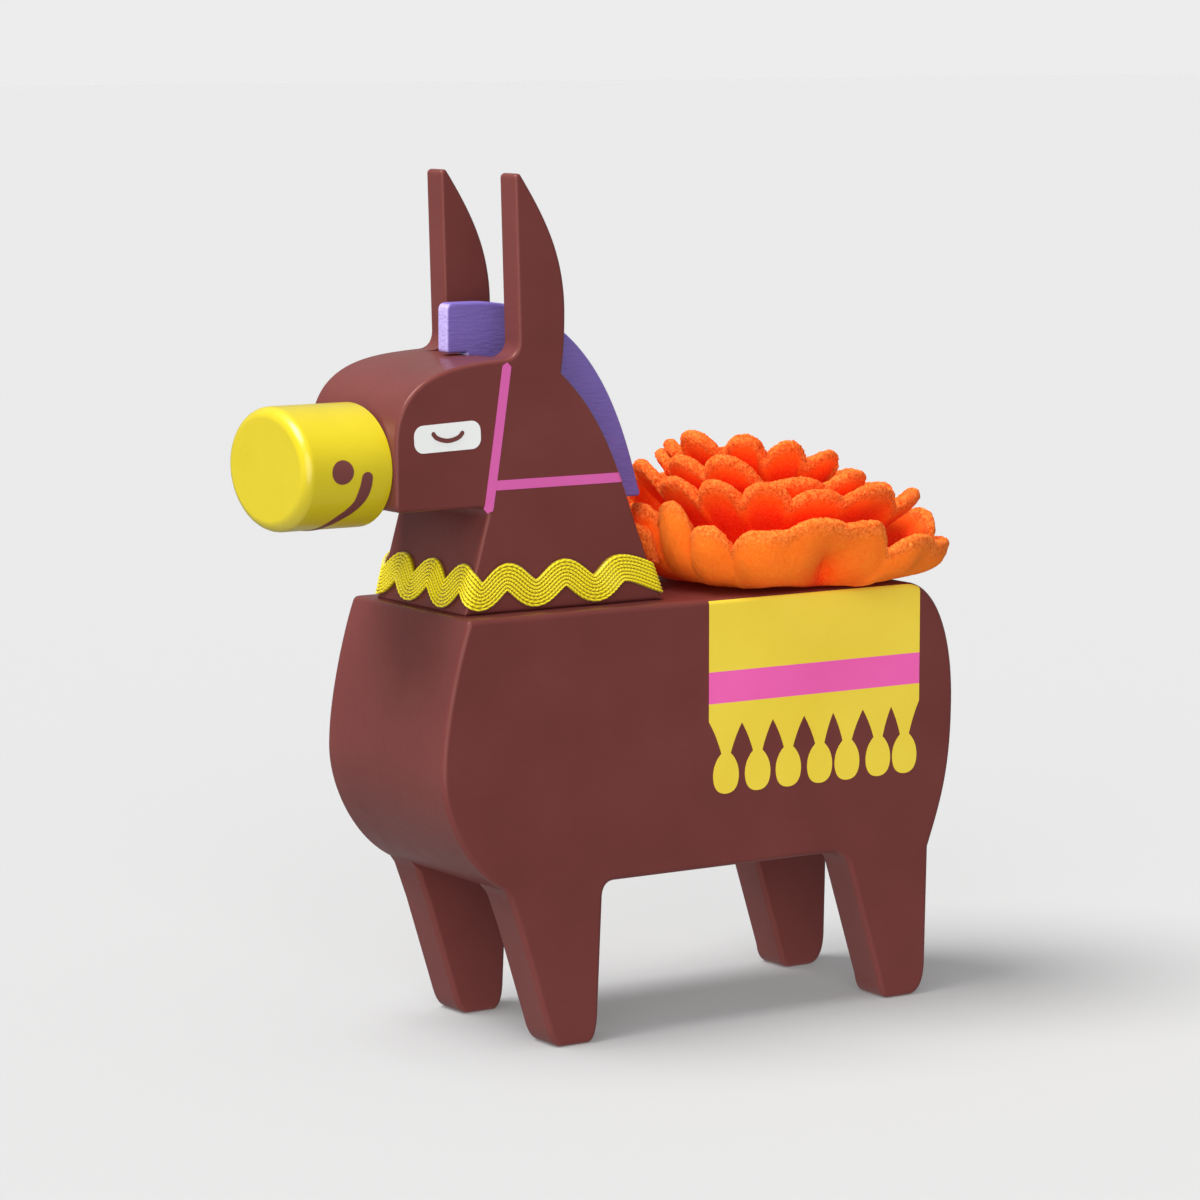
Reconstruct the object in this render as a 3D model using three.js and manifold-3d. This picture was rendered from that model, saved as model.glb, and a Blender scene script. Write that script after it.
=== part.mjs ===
// Painted wooden donkey figure with a ric-rac collar and a felt flower on its back.
// Units: millimetres. +Z up, nose towards -Y, the donkey's left side towards +X.
// Origin: on the floor under the middle of the figure, feet standing on Z = 0.
import * as THREE from "three";
import { mergeVertices } from "three/addons/utils/BufferGeometryUtils.js";
import Module from "manifold-3d";

const wasm = await Module();
wasm.setup();

// ---- driving dimensions -------------------------------------------------------------------
const TORSO_HALF_WIDTH = 27;
const FLANK_THICKNESS = 11.5;
const HEAD_HALF_WIDTH = 20;
const CHEEK_THICKNESS = 7;
const BACK_Z = 103.75; // flat top of the torso
const BELLY_Z = 38.5;
const CHIN_Z = 128.75;
const EAR_TIP_Z = 205.75;
const EAR_TIP_RADIUS = 1.1;
const EDGE_RADIUS = 1; // sanded outer edges
const GAP = 0.3; // glue gap between pieces that are cut to fit each other

const CHEST = { y: -61, z: 68 }; // foremost line of the chest
const RUMP = { y: 87, z: 74 }; // rearmost line of the rump
const FACE_Y = -69; // flat front of the face

const MUZZLE = { halfWidth: 18.8, halfHeight: 14.5, z: 138.5, length: 23, rim: 3.7 };
const MANE_THICKNESS = 4.4;
const DOWEL = { radius: 4, sides: 20, inNeighbour: 12, inHead: 14 };

const BRAID = { width: 6, thickness: 1.3, swing: 2.15, waves: 12, middleZ: 110.1, clear: 0.7 };
const FELT = 2.4;
const FLOWER = { y: 51.5, z: BACK_Z + GAP };
const FELT_BASE = { radius: 20, thickness: 1.4, sides: 36 };
const BUD = { radius: 4.4, height: 16, lowZ: 15.3, sides: 16 };

// ---- materials ----------------------------------------------------------------------------
const brownPaint = new THREE.MeshStandardMaterial({ color: 0x6b3a38, roughness: 0.5, metalness: 0 });
const yellowPaint = new THREE.MeshStandardMaterial({ color: 0xe6d72d, roughness: 0.35, metalness: 0 });
const purplePaint = new THREE.MeshStandardMaterial({ color: 0x7664b4, roughness: 0.55, metalness: 0 });
const bareWood = new THREE.MeshStandardMaterial({ color: 0xd8b98a, roughness: 0.7, metalness: 0 });
const yellowBraid = new THREE.MeshStandardMaterial({ color: 0xe1d214, roughness: 0.6, metalness: 0 });
const orangeFelt = new THREE.MeshStandardMaterial({ color: 0xfa6e1e, roughness: 0.95, metalness: 0 });

// ---- solids -------------------------------------------------------------------------------
function toSolid(geometry) {
  const bare = geometry.index ? geometry.toNonIndexed() : geometry.clone();
  bare.deleteAttribute("normal");
  bare.deleteAttribute("uv");
  const merged = mergeVertices(bare, 1e-5);
  const vertProperties = merged.attributes.position.array;
  const triVerts = new Uint32Array(merged.index.array);
  return new wasm.Manifold(new wasm.Mesh({ numProp: 3, vertProperties, triVerts }));
}

function toGeometry(solid) {
  const mesh = solid.getMesh();
  const geometry = new THREE.BufferGeometry();
  geometry.setAttribute("position", new THREE.BufferAttribute(mesh.vertProperties, 3));
  geometry.setIndex(new THREE.BufferAttribute(mesh.triVerts, 1));
  geometry.computeVertexNormals();
  return geometry;
}

function cut(geometry, ...tools) {
  let solid = toSolid(geometry);
  for (const tool of tools) {
    solid = solid.subtract(toSolid(tool));
  }
  return toGeometry(solid);
}

// Extrudes an outline drawn in (y, z) sideways, from x = low to x = high.
function sideways(outline, low, high, radius = 0) {
  const geometry = new THREE.ExtrudeGeometry(outline, {
    depth: high - low - 2 * radius,
    curveSegments: 8,
    bevelEnabled: radius > 0,
    bevelThickness: radius,
    bevelSize: radius,
    bevelOffset: -radius,
    bevelSegments: 2,
  });
  geometry.translate(0, 0, low + radius);
  geometry.rotateX(Math.PI / 2);
  geometry.rotateZ(Math.PI / 2);
  return geometry;
}

// A board glued on by its inner face: its outer edges are rounded, its inner face is cut flat.
function sideBoard(outline, innerX, outerX, side) {
  const spare = 2 * EDGE_RADIUS;
  const [low, high] = side > 0 ? [innerX - spare, outerX] : [-outerX, spare - innerX];
  const board = sideways(outline, low, high, EDGE_RADIUS);
  const wasteDepth = 20;
  const waste = new THREE.BoxGeometry(wasteDepth, 400, 600);
  waste.translate(side * (innerX - wasteDepth / 2), 0, 0);
  return cut(board, waste);
}

function rod(radius, length, sides) {
  return new THREE.CylinderGeometry(radius, radius, length, sides);
}

function uprightRod(radius, y, lowZ, highZ, sides = DOWEL.sides) {
  const geometry = rod(radius, highZ - lowZ, sides);
  geometry.rotateX(Math.PI / 2);
  geometry.translate(0, y, (lowZ + highZ) / 2);
  return geometry;
}

function levelRod(radius, z, lowY, highY, sides = DOWEL.sides) {
  const geometry = rod(radius, highY - lowY, sides);
  geometry.translate(0, (lowY + highY) / 2, z);
  return geometry;
}

// A closed ring swept round a loop: point(turn, step) gives the place of one corner of the
// section, with turn going once round the loop and step once round the section.
function ring(turns, steps, point) {
  const position = [];
  const index = [];
  for (let i = 0; i < turns; i++) {
    for (let j = 0; j < steps; j++) {
      position.push(...point(i / turns, j));
      const next = (i + 1) % turns;
      const above = (j + 1) % steps;
      const a = i * steps + j;
      const b = next * steps + j;
      const c = next * steps + above;
      const d = i * steps + above;
      index.push(a, b, c, a, c, d);
    }
  }
  const geometry = new THREE.BufferGeometry();
  geometry.setAttribute("position", new THREE.Float32BufferAttribute(position, 3));
  geometry.setIndex(index);
  geometry.computeVertexNormals();
  return geometry;
}

// ---- outlines, drawn in (y, z) ------------------------------------------------------------
function chestAndBack(outline, chestFootY, chestFootZ) {
  outline.moveTo(chestFootY, chestFootZ);
  outline.bezierCurveTo(-54.2, 44.7, CHEST.y, 57.6, CHEST.y, CHEST.z);
  outline.bezierCurveTo(CHEST.y, 80, -56.2, 97, -54.2, BACK_Z - 1.6);
  outline.quadraticCurveTo(-53.8, BACK_Z, -52.4, BACK_Z);
  outline.lineTo(72, BACK_Z);
  outline.bezierCurveTo(80.9, BACK_Z, RUMP.y, 91.9, RUMP.y, RUMP.z);
}

function torsoCoreOutline() {
  const outline = new THREE.Shape();
  chestAndBack(outline, -44.3, 39.4);
  outline.bezierCurveTo(RUMP.y, 55.7, 83.9, 47.9, 80.4, 38.9);
  outline.quadraticCurveTo(80.2, BELLY_Z, 79.4, BELLY_Z);
  outline.lineTo(-42.5, BELLY_Z);
  outline.closePath();
  return outline;
}

function flankOutline() {
  const outline = new THREE.Shape();
  chestAndBack(outline, -44.3, 39.4);
  outline.bezierCurveTo(RUMP.y, 55.7, 83.9, 47.9, 79.9, 37.1);
  outline.lineTo(79.3, 8); // rear leg
  outline.quadraticCurveTo(79, 0, 75.6, 0);
  outline.lineTo(67.4, 0);
  outline.quadraticCurveTo(65.6, 0, 65, 4);
  outline.lineTo(55.9, 33.5);
  outline.quadraticCurveTo(54.4, BELLY_Z, 50, BELLY_Z);
  outline.lineTo(-13.2, BELLY_Z); // belly
  outline.quadraticCurveTo(-16.6, BELLY_Z, -16.7, 34.5);
  outline.lineTo(-18, 6.3); // front leg
  outline.quadraticCurveTo(-18.4, 0, -20.4, 0);
  outline.lineTo(-29, 0);
  outline.quadraticCurveTo(-31, 0, -32.2, 4.5);
  outline.lineTo(-39.7, 28.6);
  outline.lineTo(-43, 37.6);
  outline.closePath();
  return outline;
}

const NECK = { frontY: -50.8, backY: 4.5, frontLean: 0.2785, backLean: -0.394 };
const NECK_STRAIGHT_Z = 118; // the back of the neck is straight up to here

function faceOutline(outline) {
  outline.moveTo(NECK.backY, BACK_Z);
  outline.lineTo(NECK.frontY, BACK_Z);
  outline.lineTo(-44.4, 126.4);
  outline.quadraticCurveTo(-43.9, CHIN_Z, -46.4, CHIN_Z);
  outline.lineTo(FACE_Y + 2, CHIN_Z);
  outline.quadraticCurveTo(FACE_Y, CHIN_Z, FACE_Y, CHIN_Z + 2);
  outline.lineTo(FACE_Y, 144);
  outline.bezierCurveTo(FACE_Y, 160.8, -53, 162, -43, 162.8);
}

function napeOutline(outline) {
  const foot = NECK.backY + (NECK_STRAIGHT_Z - BACK_Z) * NECK.backLean;
  outline.bezierCurveTo(-10, 147, -6.8, 132, foot, NECK_STRAIGHT_Z);
  outline.closePath();
}

function headCoreOutline() {
  const outline = new THREE.Shape();
  faceOutline(outline);
  outline.bezierCurveTo(-35, 163.2, -27, 161.5, -23.7, 159.1);
  napeOutline(outline);
  return outline;
}

function cheekOutline() {
  const outline = new THREE.Shape();
  faceOutline(outline);
  outline.lineTo(-39.6, 163); // ear root
  outline.quadraticCurveTo(-35.8, 163.2, -35.6, 167);
  outline.absarc(-36.7 + EAR_TIP_RADIUS, EAR_TIP_Z - EAR_TIP_RADIUS, EAR_TIP_RADIUS, Math.PI, 0.6, true);
  outline.bezierCurveTo(-27.3, 194.5, -22.7, 185.9, -22.7, 173);
  outline.bezierCurveTo(-22.7, 167.8, -23, 163.6, -23.7, 159.1);
  napeOutline(outline);
  return outline;
}

const MANE = { frontY: -44.4, frontZ: 163.4, topZ: 175.2, tailY: 10.4, tailZ: 126.6, slotY: -38.8 };

function maneOutline() {
  const outline = new THREE.Shape();
  outline.moveTo(MANE.slotY, MANE.frontZ);
  outline.lineTo(MANE.frontY, MANE.frontZ);
  outline.lineTo(MANE.frontY, MANE.topZ - 2);
  outline.quadraticCurveTo(MANE.frontY, MANE.topZ, MANE.frontY + 2, MANE.topZ);
  outline.lineTo(-36.6, MANE.topZ);
  outline.bezierCurveTo(0.2, MANE.topZ, 6.8, 136.2, MANE.tailY, MANE.tailZ);
  outline.lineTo(-8.4, MANE.tailZ);
  outline.bezierCurveTo(-13.5, 142, -20, 153.5, -30, 157.6);
  outline.lineTo(MANE.slotY, 158.6);
  outline.closePath();
  return outline;
}

// The slot runs along the crest of the neck and is open towards the back.
function slotOutline() {
  const outline = new THREE.Shape();
  outline.moveTo(MANE.slotY - GAP, 158.6 - GAP);
  outline.lineTo(-30 - GAP, 157.6 - GAP);
  outline.bezierCurveTo(-20 - GAP, 153.2, -13.8 - GAP, 142 - GAP, -8.7 - GAP, MANE.tailZ - GAP);
  outline.lineTo(30, MANE.tailZ - GAP);
  outline.lineTo(30, 190);
  outline.lineTo(MANE.slotY - GAP, 190);
  outline.closePath();
  return outline;
}

// ---- sub-parts ----------------------------------------------------------------------------
const NECK_DOWEL = {
  frontY: -36,
  rearY: -16,
  lowZ: BACK_Z - DOWEL.inNeighbour,
  highZ: BACK_Z + DOWEL.inHead,
};
const NOSE_DOWEL = { lowY: FACE_Y - DOWEL.inNeighbour, highY: FACE_Y + DOWEL.inHead };

function neckBores() {
  const bore = (y) => uprightRod(DOWEL.radius + GAP, y, NECK_DOWEL.lowZ, NECK_DOWEL.highZ);
  return [bore(NECK_DOWEL.frontY), bore(NECK_DOWEL.rearY)];
}

function noseBore() {
  return levelRod(DOWEL.radius + GAP, MUZZLE.z, NOSE_DOWEL.lowY, NOSE_DOWEL.highY);
}

function torsoCore() {
  const half = TORSO_HALF_WIDTH - FLANK_THICKNESS;
  return cut(sideways(torsoCoreOutline(), -half, half), ...neckBores());
}

function flankPanel(side) {
  return sideBoard(flankOutline(), TORSO_HALF_WIDTH - FLANK_THICKNESS, TORSO_HALF_WIDTH, side);
}

function headCore() {
  const half = HEAD_HALF_WIDTH - CHEEK_THICKNESS;
  const slotHalf = MANE_THICKNESS / 2 + GAP;
  const slot = sideways(slotOutline(), -slotHalf, slotHalf);
  return cut(sideways(headCoreOutline(), -half, half), slot, noseBore(), ...neckBores());
}

function cheekPanel(side) {
  return sideBoard(cheekOutline(), HEAD_HALF_WIDTH - CHEEK_THICKNESS, HEAD_HALF_WIDTH, side);
}

function maneSlat() {
  return sideways(maneOutline(), -MANE_THICKNESS / 2, MANE_THICKNESS / 2);
}

// Oval turned along Y, flat at the back, with a rounded rim at the front.
function muzzle() {
  const { halfWidth, halfHeight, z, length, rim } = MUZZLE;
  const profile = [new THREE.Vector2(0, 0), new THREE.Vector2(halfHeight, 0)];
  const rimSteps = 4;
  for (let i = 0; i <= rimSteps; i++) {
    const angle = (i / rimSteps) * (Math.PI / 2);
    const radius = halfHeight - rim + rim * Math.cos(angle);
    profile.push(new THREE.Vector2(radius, length - rim + rim * Math.sin(angle)));
  }
  profile.push(new THREE.Vector2(0, length));
  const geometry = new THREE.LatheGeometry(profile, 40);
  geometry.scale(halfWidth / halfHeight, 1, 1);
  geometry.rotateX(Math.PI);
  geometry.translate(0, FACE_Y, z);
  return cut(geometry, noseBore());
}

function neckDowel(y) {
  return uprightRod(DOWEL.radius, y, NECK_DOWEL.lowZ, NECK_DOWEL.highZ);
}

function muzzleDowel() {
  return levelRod(DOWEL.radius, MUZZLE.z, NOSE_DOWEL.lowY, NOSE_DOWEL.highY);
}

// Middle line of the braid round the neck: the neck's own outline at each height, moved out.
function braidPoint(turn, z, out) {
  const rise = z - BACK_Z;
  const front = NECK.frontY + rise * NECK.frontLean - out;
  const back = NECK.backY + rise * NECK.backLean + out;
  const half = HEAD_HALF_WIDTH + out;
  const corner = 1 + out;
  const depth = (back - front) / 2;
  const straightX = half - corner;
  const straightY = depth - corner;
  const arc = (Math.PI / 2) * corner;
  const quarter = straightX + arc + straightY;
  const along = turn * 4 * quarter;
  const lap = Math.floor(along / quarter) % 4;
  let rest = along - lap * quarter;
  const odd = lap % 2 === 1;
  if (odd) rest = quarter - rest;
  let x = rest;
  let y = depth;
  if (rest > straightX + arc) {
    x = half;
    y = straightY - (rest - straightX - arc);
  } else if (rest > straightX) {
    const angle = (rest - straightX) / corner;
    x = straightX + corner * Math.sin(angle);
    y = straightY + corner * Math.cos(angle);
  }
  const signX = lap < 2 ? 1 : -1;
  const signY = lap === 0 || lap === 3 ? 1 : -1;
  return [signX * x, (front + back) / 2 + signY * y, z];
}

function ricracCollar() {
  const { width, thickness, swing, waves, middleZ, clear } = BRAID;
  const stepsPerWave = 12;
  return ring(waves * stepsPerWave, 4, (turn, corner) => {
    const middle = middleZ + swing * Math.cos(2 * Math.PI * waves * turn);
    const z = middle + (corner === 1 || corner === 2 ? width / 2 : -width / 2);
    const out = corner < 2 ? clear : clear + thickness;
    return braidPoint(turn, z, out);
  });
}

// A point of the flower. Its petals stand higher towards the neck and droop towards the rump.
function flowerPoint(angle, out, up, lean) {
  const y = out * Math.sin(angle);
  return [out * Math.cos(angle), FLOWER.y + y, FLOWER.z + up * (1 - lean * y)];
}

function feltBase() {
  const { radius, thickness, sides } = FELT_BASE;
  return uprightRod(radius, FLOWER.y, FLOWER.z, FLOWER.z + thickness, sides);
}

// One gathered strip of felt with rounded petals, as a scalloped bowl. The bowl's wall is a
// superellipse: flat at the bottom, upright at the rim.
function petalStrip({ petals, foot, footZ, rim, rimZ, notch, lean }) {
  const wallSteps = 5;
  const stepsPerPetal = 6;
  const power = 2 / 3;
  const wall = (turn, share, inset) => {
    const angle = 2 * Math.PI * turn;
    const reach = 1 - notch * (1 - Math.abs(Math.cos((petals * angle) / 2)));
    const slope = share * reach * (Math.PI / 2);
    const out = foot + (rim - inset - foot) * Math.sin(slope) ** power;
    const up = footZ + inset + (rimZ - footZ - inset) * (1 - Math.cos(slope) ** power);
    return flowerPoint(angle, out, up, lean);
  };
  return ring(petals * stepsPerPetal, 2 * wallSteps, (turn, step) => {
    const outside = step < wallSteps;
    const share = outside ? step : 2 * wallSteps - 1 - step;
    return wall(turn, share / (wallSteps - 1), outside ? 0 : FELT);
  });
}

function centreBud() {
  const lowZ = FLOWER.z + BUD.lowZ;
  return uprightRod(BUD.radius, FLOWER.y, lowZ, lowZ + BUD.height, BUD.sides);
}

const PETAL_STRIPS = {
  petal_strip_outer: { petals: 8, foot: 10, footZ: 1.9, rim: 40.5, rimZ: 17.5, notch: 0.24, lean: 0.0075 },
  petal_strip_second: { petals: 8, foot: 8, footZ: 5.2, rim: 29.5, rimZ: 25, notch: 0.2, lean: 0.002 },
  petal_strip_third: { petals: 6, foot: 6, footZ: 8.5, rim: 19.5, rimZ: 31, notch: 0.2, lean: 0.002 },
  petal_strip_inner: { petals: 4, foot: 3.5, footZ: 11.8, rim: 10.5, rimZ: 35, notch: 0.2, lean: 0.004 },
};

// ---- assembly -----------------------------------------------------------------------------
const figure = new THREE.Group();

function add(name, geometry, material) {
  const mesh = new THREE.Mesh(geometry, material);
  mesh.name = name;
  figure.add(mesh);
}

add("torso_core", torsoCore(), brownPaint);
add("left_flank_panel", flankPanel(1), brownPaint);
add("right_flank_panel", flankPanel(-1), brownPaint);
add("head_core", headCore(), brownPaint);
add("left_cheek_panel", cheekPanel(1), brownPaint);
add("right_cheek_panel", cheekPanel(-1), brownPaint);
add("mane_slat", maneSlat(), purplePaint);
add("muzzle", muzzle(), yellowPaint);
add("muzzle_dowel", muzzleDowel(), bareWood);
add("neck_dowel_front", neckDowel(NECK_DOWEL.frontY), bareWood);
add("neck_dowel_rear", neckDowel(NECK_DOWEL.rearY), bareWood);
add("ricrac_collar", ricracCollar(), yellowBraid);
add("felt_base", feltBase(), orangeFelt);
for (const [name, strip] of Object.entries(PETAL_STRIPS)) {
  add(name, petalStrip(strip), orangeFelt);
}
add("centre_bud", centreBud(), orangeFelt);

export default figure;
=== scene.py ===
import math

import bpy
import numpy as np
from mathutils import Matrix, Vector, noise


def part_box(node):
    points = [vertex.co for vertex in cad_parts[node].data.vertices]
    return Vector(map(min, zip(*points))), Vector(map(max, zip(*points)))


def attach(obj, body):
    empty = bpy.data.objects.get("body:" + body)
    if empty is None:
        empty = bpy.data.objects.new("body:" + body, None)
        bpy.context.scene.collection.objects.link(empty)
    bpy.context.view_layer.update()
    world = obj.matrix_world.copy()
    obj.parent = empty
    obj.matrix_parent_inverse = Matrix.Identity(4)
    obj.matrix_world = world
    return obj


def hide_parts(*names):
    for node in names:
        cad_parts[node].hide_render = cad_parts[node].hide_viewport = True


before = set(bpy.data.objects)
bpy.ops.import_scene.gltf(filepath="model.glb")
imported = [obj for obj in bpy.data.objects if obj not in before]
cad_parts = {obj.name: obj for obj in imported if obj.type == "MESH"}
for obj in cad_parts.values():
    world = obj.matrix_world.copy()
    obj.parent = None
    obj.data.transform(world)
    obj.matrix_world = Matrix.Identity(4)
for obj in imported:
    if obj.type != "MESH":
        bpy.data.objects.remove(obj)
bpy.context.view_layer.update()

# A painted wooden donkey figure: board-built body, oval muzzle, mane board, ric-rac collar and a
# gathered felt flower. Shapes are worked out in millimetres and stored in metres.
# +Z up, nose towards -Y, the donkey's left side towards +X.
MM = 0.001

# ---- sizes read from the CAD frame ----


def box_mm(node):
    """Lowest and highest corner of a CAD node, in millimetres."""
    low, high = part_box(node)
    return np.array(low) / MM, np.array(high) / MM


TORSO_LOW, TORSO_HIGH = box_mm("torso_core")
FLANK_HIGH = box_mm("left_flank_panel")[1]
HEAD_LOW, HEAD_HIGH = box_mm("head_core")
CHEEK_HIGH = box_mm("left_cheek_panel")[1]
MANE_LOW, MANE_HIGH = box_mm("mane_slat")
MUZZLE_LOW, MUZZLE_HIGH = box_mm("muzzle")
BASE_LOW, BASE_HIGH = box_mm("felt_base")

BACK_Z = TORSO_HIGH[2]
BELLY_Z = TORSO_LOW[2]
CHEST_Y = TORSO_LOW[1]
RUMP_Y = TORSO_HIGH[1]
CORE_X = TORSO_HIGH[0]
FLANK_X = FLANK_HIGH[0]
FACE_Y = HEAD_LOW[1]
HEAD_CORE_X = HEAD_HIGH[0]
CHEEK_X = CHEEK_HIGH[0]
CHIN_Z = 128.75
NECK_FRONT_Y = -50.8
NECK_BACK_Y = 4.5
EAR_TIP_Z = CHEEK_HIGH[2]
MUZZLE_Z = (MUZZLE_LOW[2] + MUZZLE_HIGH[2]) / 2
MUZZLE_HALF_WIDTH = MUZZLE_HIGH[0]
MUZZLE_HALF_HEIGHT = MUZZLE_HIGH[2] - MUZZLE_Z
FLOWER_Y = (BASE_LOW[1] + BASE_HIGH[1]) / 2
FLOWER_Z = BASE_LOW[2]

# How far the edges are rounded, and how thick paint and felt are.
TORSO_ROUND = 1.4
HEAD_ROUND = 1.0
MANE_ROUND = 0.7
SEAM_ROUND = 0.02
PAINT_FILM = 0.12
PAINT_ROOT = 0.06
FELT = 3.0

# ---- camera, floor and light ----
CAMERA_AT = Vector((0.8934, -0.58335, 0.2434))
CAMERA_LOOK = Vector((-0.83010, 0.54184, -0.13166))
CAMERA_LENS = 133.47
CAMERA_SENSOR = 36.0
BACKDROP_GREY = 0.845
HORIZON_GREY, OVERHEAD_GREY = 0.3, 0.4
FLOOR_HALF = 12.0
FLOOR_GREY = 0.39
FLOOR_GLOW = 0.14


def grey(value):
    return value, value, value, 1


def make_camera():
    camera = bpy.data.cameras.new("camera")
    camera.lens = CAMERA_LENS
    camera.sensor_width = CAMERA_SENSOR
    camera.clip_start = 0.01
    camera.clip_end = 50.0
    eye = bpy.data.objects.new("camera", camera)
    eye.location = CAMERA_AT
    eye.rotation_euler = CAMERA_LOOK.to_track_quat("-Z", "Y").to_euler()
    bpy.context.scene.collection.objects.link(eye)
    bpy.context.scene.camera = eye


def make_world():
    """An even pale studio: brighter overhead than at the horizon, and plain behind the figure."""
    world = bpy.data.worlds.new("studio")
    bpy.context.scene.world = world
    world.use_nodes = True
    nodes, links = world.node_tree.nodes, world.node_tree.links
    nodes.clear()
    kinds = (
        "OutputWorld", "MixShader", "Background", "Background", "ValToRGB", "SeparateXYZ",
        "TexCoord", "MapRange", "LightPath",
    )
    output, mix, seen, lit, ramp, split, place, half, ray = (
        nodes.new("ShaderNode" + kind) for kind in kinds
    )
    seen.inputs["Color"].default_value = grey(BACKDROP_GREY)
    low, high = ramp.color_ramp.elements
    low.position, low.color = 0.45, grey(HORIZON_GREY)
    high.position, high.color = 0.95, grey(OVERHEAD_GREY)
    half.inputs["From Min"].default_value = -1
    links.new(place.outputs["Generated"], split.inputs[0])
    links.new(split.outputs["Z"], half.inputs["Value"])
    links.new(half.outputs["Result"], ramp.inputs["Fac"])
    links.new(ramp.outputs["Color"], lit.inputs["Color"])
    links.new(ray.outputs["Is Camera Ray"], mix.inputs["Fac"])
    links.new(lit.outputs[0], mix.inputs[1])
    links.new(seen.outputs[0], mix.inputs[2])
    links.new(mix.outputs[0], output.inputs[0])


def make_sun(name, towards, strength, angle):
    """A broad soft light that comes from the direction given."""
    sun = bpy.data.lights.new(name, "SUN")
    sun.energy = strength
    sun.angle = math.radians(angle)
    lamp = bpy.data.objects.new(name, sun)
    lamp.rotation_euler = Vector(towards).to_track_quat("Z", "Y").to_euler()
    bpy.context.scene.collection.objects.link(lamp)


def make_floor():
    """A plain pale floor that takes shadows and throws no light back."""
    mesh = bpy.data.meshes.new("floor")
    corners = [(x * FLOOR_HALF, y * FLOOR_HALF, 0) for x, y in ((-1, -1), (1, -1), (1, 1), (-1, 1))]
    mesh.from_pydata(corners, [], [(0, 1, 2, 3)])
    floor = bpy.data.objects.new("floor", mesh)
    bpy.context.scene.collection.objects.link(floor)
    mat = Nodes("floor_matt")
    mat.set(Base_Color=grey(FLOOR_GREY), Roughness=0.9, Specular_IOR_Level=0.0)
    mat.set(Emission_Color=grey(1), Emission_Strength=FLOOR_GLOW)
    mesh.materials.append(mat.material)
    floor.visible_diffuse = False
    floor.visible_glossy = False
    floor.visible_shadow = False


# ---- materials ----


class Nodes:
    """A material's node tree with short helpers for procedural patterns."""

    def __init__(self, name):
        self.material = bpy.data.materials.new(name)
        self.material.use_nodes = True
        self.tree = self.material.node_tree
        self.shader = self.tree.nodes["Principled BSDF"]
        self.place = self.add("TexCoord").outputs["Object"]

    def add(self, kind, **values):
        """A new node with some of its inputs set."""
        node = self.tree.nodes.new("ShaderNode" + kind)
        for name, value in values.items():
            node.inputs[name.replace("_", " ")].default_value = value
        return node

    def set(self, **values):
        """Sets the shader's own inputs."""
        for name, value in values.items():
            self.shader.inputs[name.replace("_", " ")].default_value = value

    def link(self, output, target):
        """Links an output to an input, or to the shader's input of that name."""
        if isinstance(target, str):
            target = self.shader.inputs[target]
        self.tree.links.new(output, target)

    def attribute(self, name):
        """The number that mark() stored at each point."""
        node = self.add("Attribute")
        node.attribute_name = name
        return node.outputs["Fac"]

    def stretched(self, scale):
        """Object coordinates stretched by a scale along each axis."""
        node = self.add("Mapping", Scale=scale)
        self.link(self.place, node.inputs["Vector"])
        return node.outputs["Vector"]

    def noise(self, vector, scale, detail=3.0, rough=0.55, distort=0.0):
        node = self.add("TexNoise", Scale=scale, Detail=detail, Roughness=rough, Distortion=distort)
        self.link(vector, node.inputs["Vector"])
        return node.outputs["Fac"]

    def ramp(self, value, *stops):
        """A colour for each value. A stop is a value and its colour."""
        node = self.add("ValToRGB")
        elements = node.color_ramp.elements
        for place, _ in stops[1:-1]:
            elements.new(place)
        for element, (place, colour) in zip(elements, stops):
            element.position = place
            element.color = (*linear(*colour), 1)
        self.link(value, node.inputs["Fac"])
        return node.outputs["Color"]

    def ranged(self, value, low, high, from_low=0.3, from_high=0.7):
        node = self.add("MapRange", From_Min=from_low, From_Max=from_high, To_Min=low, To_Max=high)
        self.link(value, node.inputs["Value"])
        return node.outputs["Result"]

    def bump(self, height, strength, distance, below=None):
        node = self.add("Bump", Strength=strength, Distance=distance)
        self.link(height, node.inputs["Height"])
        if below is not None:
            self.link(below, node.inputs["Normal"])
        return node.outputs["Normal"]

    def mixer(self, share, under):
        """A colour mix: under shows where share is 0, and its input B where share is 1."""
        node = self.add("Mix")
        node.data_type = "RGBA"
        self.link(share, node.inputs["Factor"])
        self.link(under, node.inputs["A"])
        return node

    def facing_nose(self, colour, front):
        """Colour on most of a piece, and another where its surface faces the nose, which is partly
        painted light from the front.
        """
        split = self.add("SeparateXYZ")
        self.link(self.add("TexCoord").outputs["Normal"], split.inputs[0])
        turned = self.ranged(split.outputs["Y"], 0, 1, -0.35, -0.8)
        blend = self.mixer(turned, colour)
        blend.inputs["B"].default_value = (*linear(*front), 1)
        return blend.outputs["Result"]


def linear(red, green, blue):
    """Linear colour of an sRGB colour given from 0 to 255."""
    parts = []
    for value in (red, green, blue):
        share = value / 255
        parts.append(share / 12.92 if share <= 0.04045 else ((share + 0.055) / 1.055) ** 2.4)
    return tuple(parts)


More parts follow.
